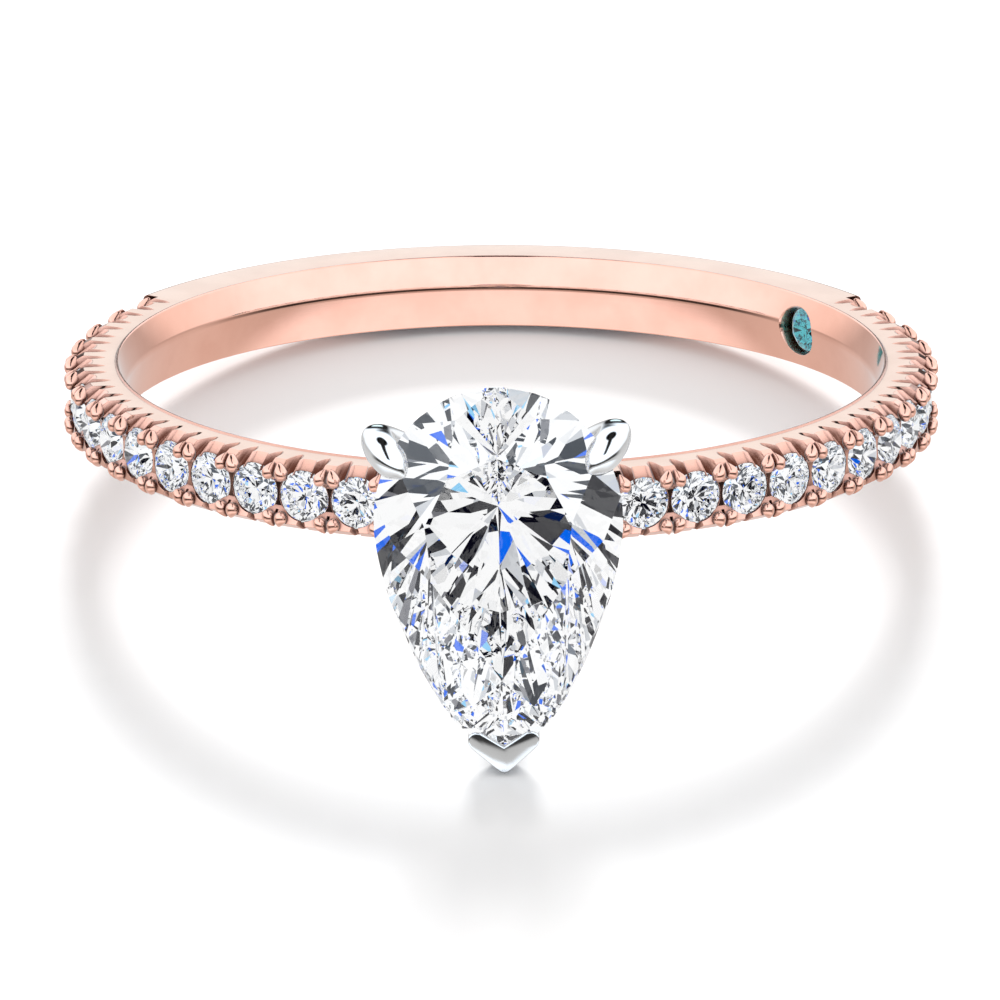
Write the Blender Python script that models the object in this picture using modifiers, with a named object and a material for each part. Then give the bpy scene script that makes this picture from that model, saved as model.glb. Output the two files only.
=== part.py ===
"""Engagement ring: a pear stone in a three-claw head, on a shank with two rows of small stones.

Metres. The finger's axis is Z and the origin is the middle of the finger hole. The head points
towards -Y and the pear's round end points up, towards +Z. Right is +X.
"""

import math

import bmesh
import bpy
from mathutils import Matrix, Vector
from mathutils.geometry import interpolate_bezier

MM = 0.001
QUARTER_TURN = math.radians(90)
FIT = 0.015 * MM  # clearance left between two pieces that touch on the real ring

# Shank, as radii from the finger's axis and half widths along it
FINGER_RADIUS = 8.25 * MM
BAND_RADIUS = 9.60 * MM
BAND_HALF_WIDTH = 0.765 * MM
RIM_RADIUS = 8.455 * MM
RIM_HALF_WIDTH = 0.81 * MM
RIM_SLOPE = 0.02 * MM
INNER_ROUNDING = 0.10 * MM
OUTER_ROUNDING = 0.15 * MM

# Small stones on the shoulders
MELEE_PER_SIDE = 15
MELEE_FIRST_ANGLE = math.radians(11.85)
MELEE_PITCH = math.radians(7.75)
MELEE_RADIUS = 0.585 * MM
MELEE_GIRDLE_AT = 9.27 * MM

# Cuts around each small stone
SCOOP_RADIUS = 0.34 * MM
SCOOP_TILT = math.radians(32)
SCOOP_STARTS_AT = 8.93 * MM
SCOOP_LENGTH = 4 * MM
SPLIT_HALF_WIDTH = 0.12 * MM
SPLIT_FLOOR_AT = 9.33 * MM
CLAW_OVERHANG = 0.045 * MM
CUTTER_RUN = 0.2 * MM  # how far a cutter runs on past the metal

# Signature stone inside the band
SIGNATURE_ANGLE = math.radians(128.2)
SIGNATURE_RADIUS = 0.485 * MM
SIGNATURE_GIRDLE_AT = 8.56 * MM
SIGNATURE_MOUTH_RADIUS = 0.585 * MM

# Proportions of a round brilliant, over its girdle radius
TABLE_SHARE = 0.56
CROWN_SHARE = 0.31
PAVILION_SHARE = 0.87
GIRDLE_SHARE = 0.04
STAR_SHARE = 0.45
LOWER_HALF_SHARE = 0.78

# Centre stone, in the head's frame: x right, y along the finger, z away from the finger
PEAR_HALF_WIDTH = 2.71 * MM
PEAR_ROUND_LENGTH = 3.04 * MM
PEAR_POINT_LENGTH = 5.32 * MM
PEAR_WIDEST_AT = 0.70 * MM
PEAR_CULET_AT = 0.95 * MM
PEAR_POINT_HALF_ANGLE = math.radians(55)
PEAR_BELLY_HANDLE = 0.55 * MM
PEAR_POINT_HANDLE = 2.78 * MM
PEAR_GIRDLE_AT = 12.70 * MM
PEAR_CROWN = 0.85 * MM
PEAR_PAVILION = 2.30 * MM
PEAR_GIRDLE = 0.06 * MM
PEAR_TABLE_SHARE = 0.60
PEAR_TABLE_CENTRE = -0.60 * MM
PEAR_MAIN_ANGLES = (90, 48, 6, -38, -90, 218, 174, 132)

# Head
HEAD_TURN = math.radians(1.4)  # the head is soldered a little off straight
BASE_RADIUS = 0.76 * MM
BASE_TOP_RADIUS = 0.98 * MM
BASE_BOTTOM_AT = BAND_RADIUS + FIT
BASE_TOP_AT = 10.10 * MM
BASE_DISH_AT = 9.92 * MM
BASE_FLANGE = 0.12 * MM
DISH_SHARE = 0.45
DISH_RIM_SHARE = 0.80
PEG_RADIUS = 0.48 * MM
PEG_END_AT = 8.80 * MM
CLAW_RADIUS = 0.39 * MM
CLAW_DIRECTION = math.radians(45)
CLAW_TIP_SHARES = (0.97, 0.93, 0.86, 0.70, 0.32)
CLAW_PATH = (  # distance from the head's axis and height, in mm, foot first
    (0.70, 9.86), (1.75, 10.55), (2.95, 11.55), (3.60, 12.45), (3.60, 12.92), (3.44, 13.18),
    (3.20, 13.28), (3.08, 13.248), (2.975, 13.22), (2.90, 13.20),
)
STRUT_RADIUS = 0.38 * MM
STRUT_PATH = ((0.70, 9.84), (2.10, 10.55), (3.60, 11.55), (4.42, 12.30))
RAIL_RADIUS = 0.28 * MM
RAIL_AT = 11.35 * MM
RAIL_SHARE = 0.62
CHEVRON_TOP_AT = 13.12 * MM
CHEVRON_BOTTOM_AT = 12.20 * MM
CHEVRON_HALF = (  # right half of the V-shaped end, in mm, from its point to its notch
    (0.00, -4.88), (0.09, -4.85), (0.64, -4.36), (0.75, -4.22), (0.775, -4.10),
    (0.73, -3.99), (0.63, -3.93), (0.50, -3.94), (0.00, -4.27),
)

# Fineness
BAND_STEPS = 96
SEAT_SIDES = 16
SCOOP_SIDES = 10
BASE_SIDES = 24
STONE_SIDES = 16
ROUND_STEPS = 20
SIDE_STEPS = 10
PATH_STEPS = 3
WELD = 0.001 * MM
SNAP = 2e-4  # how near a facet's plane a corner counts as on it, in mm
SMOOTH_BELOW = math.radians(30)
CORNER_SHARE = 1e-4  # how near an outline's corner counts as on it, as a share of a side
PARTS = "engagement_ring"
CUTTERS = "cutters"


def clear_scene():
    for thing in list(bpy.data.objects):
        bpy.data.objects.remove(thing, do_unlink=True)


def collection(name):
    found = bpy.data.collections.get(name)
    if found is None:
        found = bpy.data.collections.new(name)
        bpy.context.scene.collection.children.link(found)
    return found


def principled(name, colour, roughness, metallic, transmission=0.0, ior=1.45):
    material = bpy.data.materials.new(name)
    material.use_nodes = True
    shader = material.node_tree.nodes["Principled BSDF"]
    shader.inputs["Base Color"].default_value = (*colour, 1.0)
    shader.inputs["Roughness"].default_value = roughness
    shader.inputs["Metallic"].default_value = metallic
    shader.inputs["Transmission Weight"].default_value = transmission
    shader.inputs["IOR"].default_value = ior
    return material


def place(name, mesh, material=None, matrix=None, group=PARTS):
    """A new object in the scene, at a matrix, in the parts' or the cutters' collection."""
    thing = bpy.data.objects.new(name, mesh)
    if matrix is not None:
        thing.matrix_world = matrix
    if material is not None:
        mesh.materials.clear()
        mesh.materials.append(material)
    collection(group).objects.link(thing)
    if group == CUTTERS:
        thing.hide_render = True
        thing.display_type = "WIRE"
    return thing


def boolean(target, tool, operation="DIFFERENCE", solver="EXACT"):
    modifier = target.modifiers.new(tool.name, "BOOLEAN")
    modifier.operation = operation
    modifier.solver = solver
    modifier.object = tool


def radial(angle, distance):
    """Frame of something that stands on the band: its Z points away from the finger."""
    turn = Matrix.Rotation(angle, 4, "Z")
    return turn @ Matrix.Translation((0, -distance, 0)) @ Matrix.Rotation(QUARTER_TURN, 4, "X")


HEAD = radial(0.0, 0.0) @ Matrix.Rotation(HEAD_TURN, 4, "Z")


def shade(mesh):
    mesh.shade_smooth()
    mesh.set_sharp_from_angle(angle=SMOOTH_BELOW)


def turned(name, points, steps, closed=False, material=None, matrix=None, group=CUTTERS):
    """An object turned about Z. Its outline runs down the outer side, from top to bottom."""
    bm = bmesh.new()
    verts = [bm.verts.new((radius, 0, height)) for radius, height in points]
    following = verts[1:] + verts[:1] if closed else verts[1:]
    for pair in zip(verts, following):
        bm.edges.new(pair)
    mesh = bpy.data.meshes.new(name)
    bm.to_mesh(mesh)
    bm.free()
    thing = place(name, mesh, material, matrix, group)
    screw = thing.modifiers.new("turn", "SCREW")
    screw.angle = math.tau
    screw.steps = steps
    screw.render_steps = steps
    screw.use_merge_vertices = True
    screw.merge_threshold = WELD
    screw.use_smooth_shade = True
    return thing


def baked(guide):
    """The welded mesh of a curve or of an object with modifiers. The object is removed."""
    graph = bpy.context.evaluated_depsgraph_get()
    mesh = bpy.data.meshes.new_from_object(guide.evaluated_get(graph))
    mesh.transform(guide.matrix_world)
    bpy.data.objects.remove(guide)
    bm = bmesh.new()
    bm.from_mesh(mesh)
    bmesh.ops.remove_doubles(bm, verts=bm.verts[:], dist=WELD)
    bmesh.ops.recalc_face_normals(bm, faces=bm.faces[:])
    bm.to_mesh(mesh)
    bm.free()
    shade(mesh)
    return mesh


def copies(name, mesh, matrices):
    """One mesh with a copy of another at each matrix."""
    bm = bmesh.new()
    for matrix in matrices:
        before = len(bm.verts)
        bm.from_mesh(mesh)
        bm.verts.ensure_lookup_table()
        bmesh.ops.transform(bm, matrix=matrix, verts=bm.verts[before:])
    joined = bpy.data.meshes.new(name)
    bm.to_mesh(joined)
    bm.free()
    return joined


def wire(name, points, radii, closed=False, extra=0.0):
    """A round wire along points, whose radius may taper, and may be grown by extra."""
    curve = bpy.data.curves.new(name, "CURVE")
    curve.dimensions = "3D"
    curve.bevel_depth = 1.0
    curve.bevel_resolution = 2
    curve.use_fill_caps = not closed
    spline = curve.splines.new("POLY")
    spline.points.add(len(points) - 1)
    spline.use_cyclic_u = closed
    for corner, point, radius in zip(spline.points, points, radii):
        corner.co = (*point, 1.0)
        corner.radius = radius + extra
    return baked(place(name + "_guide", curve, matrix=HEAD, group=CUTTERS))


def plate(name, outline, bottom, top, matrix):
    """A flat plate between two heights."""
    curve = bpy.data.curves.new(name, "CURVE")
    curve.dimensions = "2D"
    curve.fill_mode = "BOTH"
    curve.extrude = (top - bottom) / 2
    spline = curve.splines.new("POLY")
    spline.points.add(len(outline) - 1)
    spline.use_cyclic_u = True
    for corner, (x, y) in zip(spline.points, outline):
        corner.co = (x, y, 0.0, 1.0)
    middle = Matrix.Translation((0, 0, (top + bottom) / 2))
    return baked(place(name + "_guide", curve, matrix=matrix @ middle, group=CUTTERS))


# Stones


def circle(radius, count):
    turns = [math.tau * i / count for i in range(count)]
    return [Vector((radius * math.cos(turn), radius * math.sin(turn))) for turn in turns]


def pear_outline(round_count, side_count):
    """The pear's girdle about its culet, anticlockwise from the widest point on the right."""
    centre = PEAR_WIDEST_AT - PEAR_CULET_AT
    points = []
    for i in range(round_count + 1):
        angle = math.pi * i / round_count
        points.append(Vector((PEAR_HALF_WIDTH * math.cos(angle),
                              centre + PEAR_ROUND_LENGTH * math.sin(angle))))
    tip = Vector((0, centre - PEAR_POINT_LENGTH))
    flank = Vector((-math.sin(PEAR_POINT_HALF_ANGLE), math.cos(PEAR_POINT_HALF_ANGLE)))
    belly = points[-1]
    left = interpolate_bezier(belly, belly - Vector((0, PEAR_BELLY_HANDLE)),
                              tip + flank * PEAR_POINT_HANDLE, tip, side_count + 1)
    left = [Vector(point[:2]) for point in left[1:]]
    right = [Vector((-point.x, point.y)) for point in reversed(left[:-1])]
    return points + left + right


def on_outline(outline, angle):
    """Where a ray from the culet at an angle meets the outline, and the outline's direction there.

    At a corner the direction is the mean of its two sides'.
    """
    ray = Vector((math.cos(angle), math.sin(angle)))
    count = len(outline)
    for i in range(count):
        start, end = outline[i], outline[(i + 1) % count]
        side = end - start
        spread = ray.x * side.y - ray.y * side.x
        if abs(spread) < 1e-12:
            continue
        along = (start.x * side.y - start.y * side.x) / spread
        share = (start.x * ray.y - start.y * ray.x) / spread
        if along > 0 and -CORNER_SHARE <= share < 1 - CORNER_SHARE:
            if share < CORNER_SHARE:
                side = side.normalized() + (start - outline[i - 1]).normalized()
            return ray * along, side.normalized()
    raise ValueError("the ray misses the outline")


def lift(point, height):
    return Vector((point.x, point.y, height))


def ridge_point(plane_a, plane_b, height):
    """Where two facet planes meet at a height."""
    normal_a, reach_a = plane_a
    normal_b, reach_b = plane_b
    right_a = reach_a - normal_a.z * height
    right_b = reach_b - normal_b.z * height
    spread = normal_a.x * normal_b.y - normal_a.y * normal_b.x
    return Vector(((right_a * normal_b.y - right_b * normal_a.y) / spread,
                   (normal_a.x * right_b - normal_b.x * right_a) / spread, height))


def sloped_plane(low, high, direction):
    """The plane through two points and level along a direction, facing away from the axis."""
    normal = (high - low).cross(lift(direction, 0)).normalized()
    if normal.dot(low + high) < 0:
        normal.negate()
    return normal, normal.dot(low)


def grind(bm, normal, point):
    """Cut off what lies outside a plane and close the stone with the new facet."""
    everything = bm.verts[:] + bm.edges[:] + bm.faces[:]
    cut = bmesh.ops.bisect_plane(bm, geom=everything, dist=SNAP, plane_co=point, plane_no=normal,
                                 clear_outer=True)
    rim = [edge for edge in cut["geom_cut"] if isinstance(edge, bmesh.types.BMEdge)]
    rim = [edge for edge in rim if edge.is_valid and edge.is_boundary]
    if rim:
        bmesh.ops.holes_fill(bm, edges=rim)


def facet(bm, a, b, c, inside):
    """Grind the plane through three points, with the stone's inside kept."""
    normal = (b - a).cross(c - a).normalized()
    if normal.dot(inside - a) > 0:
        normal.negate()
    grind(bm, normal, a)


def brilliant(name, outline, main_angles, table_share, table_centre, crown, pavilion, girdle,
              grow=0.0):
    """A brilliant with its girdle at z = 0 and its culet on the Z axis, cut facet by facet.

    grow moves every facet out by that much. The cutting is done in millimetres.
    """
    outline = [point / MM for point in outline]
    crown, pavilion, grow = crown / MM, pavilion / MM, grow / MM
    half_girdle = girdle / MM / 2
    table_centre = Vector((0, table_centre / MM))
    inside = Vector((0, 0, 0))

    blank = bmesh.new()
    low = [blank.verts.new(lift(point, -pavilion - 1)) for point in outline]
    bottom = blank.faces.new(list(reversed(low)))
    lifted = bmesh.ops.extrude_face_region(blank, geom=[bottom])
    raised = [item for item in lifted["geom"] if isinstance(item, bmesh.types.BMVert)]
    bmesh.ops.translate(blank, verts=raised, vec=(0, 0, pavilion + crown + 2))
    bmesh.ops.recalc_face_normals(blank, faces=blank.faces[:])

    count = len(main_angles)
    mains = [on_outline(outline, math.radians(angle)) for angle in main_angles]
    halves = []
    for angle, following in zip(main_angles, main_angles[1:] + main_angles[:1]):
        step = (following - angle + 180) % 360 - 180
        halves.append(on_outline(outline, math.radians(angle + step / 2))[0])

    culet = Vector((0, 0, -half_girdle - pavilion))
    table = [lift(table_centre + (point - table_centre) * table_share, half_girdle + crown)
             for point, _ in mains]
    bezels = [sloped_plane(lift(point, half_girdle), corner, direction)
              for (point, direction), corner in zip(mains, table)]
    pavilions = [sloped_plane(lift(point, -half_girdle), culet, direction)
                 for point, direction in mains]

    grind(blank, Vector((0, 0, 1)), Vector((0, 0, half_girdle + crown)))
    star_height = half_girdle + crown * STAR_SHARE
    lower_height = -half_girdle - pavilion * LOWER_HALF_SHARE
    for i in range(count):
        after = (i + 1) % count
        top_a, top_b = lift(mains[i][0], half_girdle), lift(mains[after][0], half_girdle)
        low_a, low_b = lift(mains[i][0], -half_girdle), lift(mains[after][0], -half_girdle)
        top_half, low_half = lift(halves[i], half_girdle), lift(halves[i], -half_girdle)
        star = ridge_point(bezels[i], bezels[after], star_height)
        lower = ridge_point(pavilions[i], pavilions[after], lower_height)
        grind(blank, bezels[i][0], top_a)
        grind(blank, pavilions[i][0], low_a)
        facet(blank, table[i], table[after], star, inside)
        for corner in (top_a, top_b):
            facet(blank, corner, top_half, star, inside)
        for corner in (low_a, low_b):
            facet(blank, corner, low_half, lower, inside)
    if grow:
        blank.normal_update()
        for vert in blank.verts:
            vert.co += vert.calc_shell_factor() * vert.normal * grow
    bmesh.ops.dissolve_degenerate(blank, edges=blank.edges[:], dist=SNAP / 2)
    bmesh.ops.scale(blank, verts=blank.verts[:], vec=(MM, MM, MM))
    mesh = bpy.data.meshes.new(name)
    blank.to_mesh(mesh)
    blank.free()
    return mesh


def round_brilliant(name, radius):
    return brilliant(name, circle(radius, STONE_SIDES), tuple(range(0, 360, 45)), TABLE_SHARE, 0.0,
                     radius * CROWN_SHARE, radius * PAVILION_SHARE, radius * GIRDLE_SHARE)


def pear_brilliant(name, grow=0.0):
    return brilliant(name, pear_outline(ROUND_STEPS, SIDE_STEPS), PEAR_MAIN_ANGLES, PEAR_TABLE_SHARE,
                     PEAR_TABLE_CENTRE, PEAR_CROWN, PEAR_PAVILION, PEAR_GIRDLE, grow)


PEAR_FRAME = HEAD @ Matrix.Translation((0, PEAR_CULET_AT, PEAR_GIRDLE_AT))


# Shank


def melee_angles():
    """The angle of every small stone from the head, with a name for each."""
    for side, sign in (("left", -1), ("right", 1)):
        for i in range(MELEE_PER_SIDE):
            yield f"melee_{side}_{i + 1:02d}", sign * (MELEE_FIRST_ANGLE + i * MELEE_PITCH)


def band_profile():
    """The band's section, outer side first from top to bottom, then the inner side upwards."""
    outer = BAND_RADIUS
    inner = FINGER_RADIUS
    corner = OUTER_ROUNDING
    soft = INNER_ROUNDING
    lean = 1 - math.sqrt(0.5)
    top = [
        (inner, RIM_HALF_WIDTH - soft),
        (inner + soft * lean, RIM_HALF_WIDTH - soft * lean),
        (inner + soft, RIM_HALF_WIDTH),
        (RIM_RADIUS, RIM_HALF_WIDTH),
        (RIM_RADIUS + RIM_SLOPE, BAND_HALF_WIDTH),
        (outer - corner, BAND_HALF_WIDTH),
        (outer - corner * lean, BAND_HALF_WIDTH - corner * lean),
        (outer, BAND_HALF_WIDTH - corner),
    ]
    bottom = [(radius, -height) for radius, height in reversed(top)]
    return top + bottom


def seat_outline():
    """Half outline of the cutter for a small stone's seat. z = 0 is the stone's girdle."""
    radius = MELEE_RADIUS + FIT
    girdle = MELEE_RADIUS * GIRDLE_SHARE / 2 + FIT / 2
    neck = radius - CLAW_OVERHANG
    lip = girdle + CLAW_OVERHANG * CROWN_SHARE / (1 - TABLE_SHARE) + FIT
    top = BAND_RADIUS - MELEE_GIRDLE_AT + CUTTER_RUN
    bottom = -girdle - MELEE_RADIUS * PAVILION_SHARE - 2 * FIT
    return [(0, top), (neck, top), (neck, lip), (radius, girdle), (radius, -girdle), (0, bottom)]


def scoop_matrix(angle, side):
    """Frame of a scoop cutter: a cylinder that enters the band's side and leaves at its edge."""
    tilt = Matrix.Rotation(side * SCOOP_TILT, 4, "X")
    raise_by = SCOOP_RADIUS / math.cos(SCOOP_TILT)
    entry = Matrix.Translation((0, side * (BAND_HALF_WIDTH + raise_by), 0))
    return radial(angle, SCOOP_STARTS_AT) @ entry @ tilt


def scoop_mesh():
    bm = bmesh.new()
    bmesh.ops.create_cone(bm, cap_ends=True, segments=SCOOP_SIDES, radius1=SCOOP_RADIUS,
                          radius2=SCOOP_RADIUS, depth=SCOOP_LENGTH)
    mesh = bpy.data.meshes.new("scoop")
    bm.to_mesh(mesh)
    bm.free()
    return mesh


def split_mesh():
    """A wedge along the finger that opens away from it, from an edge at z = 0."""
    height = BAND_RADIUS - SPLIT_FLOOR_AT + CUTTER_RUN
    half_width = SPLIT_HALF_WIDTH * height / (BAND_RADIUS - SPLIT_FLOOR_AT)
    outline = [(0, 0), (half_width, height), (-half_width, height)]
    reach = BAND_HALF_WIDTH + CUTTER_RUN
    return plate("split", outline, -reach, reach, Matrix.Rotation(QUARTER_TURN, 4, "X"))


def signature_frame(distance):
    """Frame of the signature stone: its Z points at the finger's axis."""
    return radial(SIGNATURE_ANGLE, distance) @ Matrix.Rotation(math.pi, 4, "X")


def signature_seat_outline():
    """Half outline of the signature stone's seat, with its bright-cut mouth. z = 0 is its girdle."""
    radius = SIGNATURE_RADIUS + FIT
    girdle = SIGNATURE_RADIUS * GIRDLE_SHARE / 2 + FIT / 2
    bottom = -girdle - SIGNATURE_RADIUS * PAVILION_SHARE - 2 * FIT
    mouth = SIGNATURE_GIRDLE_AT - FINGER_RADIUS
    slope = (SIGNATURE_MOUTH_RADIUS - radius) / (mouth - girdle)
    top = mouth + CUTTER_RUN
    spread = radius + (top - girdle) * slope
    return [(0, top), (spread, top), (radius, girdle), (radius, -girdle), (0, bottom)]


def make_shank(material):
    shank = turned("shank", band_profile(), BAND_STEPS, closed=True, material=material, group=PARTS)

    angles = [angle for _, angle in melee_angles()]
    seat = baked(turned("seat", seat_outline(), SEAT_SIDES))
    seats = copies("seats", seat, [radial(angle, MELEE_GIRDLE_AT) for angle in angles])
    boolean(shank, place("seats", seats, group=CUTTERS))

    entries = [scoop_matrix(angle, side) for angle in angles for side in (1, -1)]
    scoops = copies("scoops", scoop_mesh(), entries)
    boolean(shank, place("scoops", scoops, group=CUTTERS))

    first = MELEE_FIRST_ANGLE - MELEE_PITCH / 2
    edges = [side * (first + i * MELEE_PITCH)
             for side in (-1, 1) for i in range(MELEE_PER_SIDE + 1)]
    splits = copies("splits", split_mesh(), [radial(angle, SPLIT_FLOOR_AT) for angle in edges])
    splits = place("splits", splits, group=CUTTERS)
    boolean(shank, splits, solver="MANIFOLD")  # EXACT leaves gaps here

    signature_seat = turned("signature_seat", signature_seat_outline(), SEAT_SIDES,
                            matrix=signature_frame(SIGNATURE_GIRDLE_AT))
    boolean(shank, signature_seat)
    radius, end = PEG_RADIUS + FIT, PEG_END_AT - FIT
    top = BAND_RADIUS + CUTTER_RUN
    boolean(shank, turned("peg_socket", [(0, top), (radius, top), (radius, end), (0, end)],
                          BASE_SIDES, matrix=HEAD))


# Head


def base_outline(extra=0.0):
    """The turned base: a dish under the culet, a flange on the band and a peg, grown by extra."""
    return [
        (0, BASE_DISH_AT + extra),
        (BASE_TOP_RADIUS * DISH_SHARE, BASE_DISH_AT + extra),
        (BASE_TOP_RADIUS * DISH_RIM_SHARE + extra, BASE_TOP_AT + extra),
        (BASE_TOP_RADIUS + extra, BASE_TOP_AT + extra),
        (BASE_TOP_RADIUS + extra, BASE_TOP_AT - BASE_FLANGE),
        (BASE_RADIUS + extra, BASE_BOTTOM_AT + BASE_FLANGE),
        (BASE_RADIUS + extra, BASE_BOTTOM_AT - extra),
        (PEG_RADIUS + extra, BASE_BOTTOM_AT - extra),
        (PEG_RADIUS + extra, PEG_END_AT - extra),
        (0, PEG_END_AT - extra),
    ]


def smooth_path(corners, count):
    """Points along a smooth curve through corners that are given in mm."""
    corners = [Vector(corner) * MM for corner in corners]
    points = []
    ends = [2 * corners[0] - corners[1]] + corners + [2 * corners[-1] - corners[-2]]
    for before, start, end, after in zip(ends, ends[1:], ends[2:], ends[3:]):
        run = interpolate_bezier(start, start + (end - before) / 6, end - (after - start) / 6, end,
                                 count + 1)
        points += run[:-1]
    return points + [corners[-1]]


def claw_mesh(name, direction, extra=0.0):
    """A claw that leaves the head's axis in a direction, with its end tapered over the stone."""
    tips = len(CLAW_TIP_SHARES)
    run = smooth_path(CLAW_PATH[:-3], PATH_STEPS) + [Vector(point) * MM for point in CLAW_PATH[-3:]]
    ahead = Vector((math.cos(direction), math.sin(direction)))
    points = [lift(ahead * point.x, point.y) for point in run]
    shares = (1,) * (len(run) - tips) + CLAW_TIP_SHARES
    return wire(name, points, [CLAW_RADIUS * share for share in shares], extra=extra)


def strut_mesh(name, extra=0.0):
    """The strut that carries the chevron, from the base."""
    points = [Vector((0, -point.x, point.y)) for point in smooth_path(STRUT_PATH, PATH_STEPS)]
    return wire(name, points, [STRUT_RADIUS] * len(points), extra=extra)


def chevron_outline():
    """The V-shaped end as seen along the stone's axis, anticlockwise from its point."""
    right = [(x * MM, y * MM) for x, y in CHEVRON_HALF]
    left = [(-x, y) for x, y in reversed(right[1:-1])]
    return right + left


def rail_points():
    """The gallery rail: the pear's outline drawn in towards the culet, in the head's frame."""
    outline = pear_outline(ROUND_STEPS, SIDE_STEPS)
    return [Vector((point.x * RAIL_SHARE, PEAR_CULET_AT + point.y * RAIL_SHARE, RAIL_AT))
            for point in outline]


def make_head(material):
    turned("head_base", base_outline(), BASE_SIDES, material=material, matrix=HEAD, group=PARTS)
    base_room = turned("base_room", base_outline(FIT), BASE_SIDES, matrix=HEAD)
    stone_room = place("stone_room", pear_brilliant("stone_room", FIT), matrix=PEAR_FRAME,
                       group=CUTTERS)

    points = rail_points()
    rail = wire("gallery_rail", points, [RAIL_RADIUS] * len(points), closed=True)
    rail = place("gallery_rail", rail, material)
    for name, direction in (("claw_right", CLAW_DIRECTION), ("claw_left", math.pi - CLAW_DIRECTION)):
        claw = place(name, claw_mesh(name, direction), material)
        boolean(claw, stone_room)
        boolean(claw, base_room)
        room = place(name + "_room", claw_mesh(name + "_room", direction, FIT), group=CUTTERS)
        boolean(rail, room, solver="MANIFOLD")  # EXACT empties the rail

    chevron = plate("v_claw", chevron_outline(), CHEVRON_BOTTOM_AT, CHEVRON_TOP_AT, HEAD)
    chevron = place("v_claw", chevron, material)
    boolean(chevron, place("strut", strut_mesh("strut"), group=CUTTERS), "UNION")
    boolean(chevron, stone_room)
    boolean(chevron, base_room)
    strut_room = place("strut_room", strut_mesh("strut_room", FIT), group=CUTTERS)
    boolean(rail, strut_room, solver="MANIFOLD")


def main():
    clear_scene()
    rose_gold = principled("rose_gold", (0.87, 0.52, 0.38), 0.12, 1.0)
    white_gold = principled("white_gold", (0.80, 0.80, 0.79), 0.12, 1.0)
    diamond = principled("diamond", (1.0, 1.0, 1.0), 0.0, 0.0, 1.0, 2.417)
    teal = principled("teal_diamond", (0.10, 0.55, 0.60), 0.0, 0.0, 0.6, 2.417)
    make_shank(rose_gold)
    make_head(white_gold)
    melee = round_brilliant("melee", MELEE_RADIUS)
    for name, angle in melee_angles():
        place(name, melee, diamond, radial(angle, MELEE_GIRDLE_AT))
    place("centre_stone", pear_brilliant("centre_stone"), diamond, PEAR_FRAME)
    signature = round_brilliant("signature_stone", SIGNATURE_RADIUS)
    place("signature_stone", signature, teal, signature_frame(SIGNATURE_GIRDLE_AT))


main()
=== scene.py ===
"""Looks for the engagement ring: detailed metal, cut stones and a studio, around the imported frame.

Shapes are modelled in millimetres in the frame's own axes and scaled to metres at the end. The
finger's axis is Z, the head points towards -Y and the origin is the middle of the finger hole.
"""

import math

import bmesh
import bpy
from mathutils import Matrix, Vector
from mathutils.geometry import interpolate_bezier


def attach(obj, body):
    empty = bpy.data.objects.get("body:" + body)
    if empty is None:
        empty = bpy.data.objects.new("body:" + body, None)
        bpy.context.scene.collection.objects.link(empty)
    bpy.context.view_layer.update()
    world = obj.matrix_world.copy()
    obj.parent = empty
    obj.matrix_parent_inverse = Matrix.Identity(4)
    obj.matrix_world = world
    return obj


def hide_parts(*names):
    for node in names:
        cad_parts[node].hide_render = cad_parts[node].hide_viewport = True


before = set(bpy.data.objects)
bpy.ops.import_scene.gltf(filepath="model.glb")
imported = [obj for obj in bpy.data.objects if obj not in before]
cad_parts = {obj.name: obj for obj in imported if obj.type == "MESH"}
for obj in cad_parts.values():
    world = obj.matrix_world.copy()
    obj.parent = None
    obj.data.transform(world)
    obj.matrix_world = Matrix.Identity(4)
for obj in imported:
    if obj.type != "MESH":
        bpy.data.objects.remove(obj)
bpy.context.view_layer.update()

METRES = 0.001
QUARTER_TURN = math.radians(90)
FIT = 0.015

# Shank
FINGER_RADIUS = 8.25
BAND_RADIUS = 9.60
BAND_HALF_WIDTH = 0.765
RIM_RADIUS = 8.455
RIM_HALF_WIDTH = 0.81
RIM_SLOPE = 0.02
OUTER_ROUNDING = 0.15
UPPER_FLARE = math.radians(14)
LOWER_FLARE = math.radians(9.5)
CREASE_AT = 0.13
CREASE_SOFT = 0.04
RIM_ROUNDING = 0.04
RIM_STEP = 0.012
BAND_STEPS = 720

# Small stones on the shoulders
MELEE_PER_SIDE = 15
MELEE_FIRST_ANGLE = math.radians(11.85)
MELEE_PITCH = math.radians(7.75)
MELEE_RADIUS = 0.585
MELEE_GIRDLE_AT = 9.27
MELEE_TURN = 7
CLAW_OVERHANG = 0.07

# Beads that hold the small stones, four at each gap
BEAD_AT = 9.455
BEAD_ACROSS = 0.14
BEAD_FROM_MIDDLE = 0.545
BEAD_SIZE = (0.135, 0.215, 0.15)
BEAD_TAPER = 0.6
BEAD_WIDEST_AT = -0.25
BEAD_FLATTENING = 0.3
BEAD_LEAN = math.radians(22)
BEAD_DIP = math.radians(22)
SPLIT_AT = 9.36
SPLIT_DEPTH = 0.4
SPLIT_PLAN = [(0, 0.74), (0.035, 0.42), (0.035, -0.42), (0, -0.74), (-0.035, -0.42),
              (-0.035, 0.42)]

# Section of the channel between the stones: (distance from the finger's axis, height)
CHANNEL_SECTION = [(9.13, 0.80), (9.45, 0.62), (9.42, 0.42), (9.31, 0.27), (9.31, -0.27),
                   (9.42, -0.42), (9.45, -0.62), (9.13, -0.80), (10.2, -1.2), (10.2, 1.2)]
CHANNEL_STEPS = 90

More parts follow.
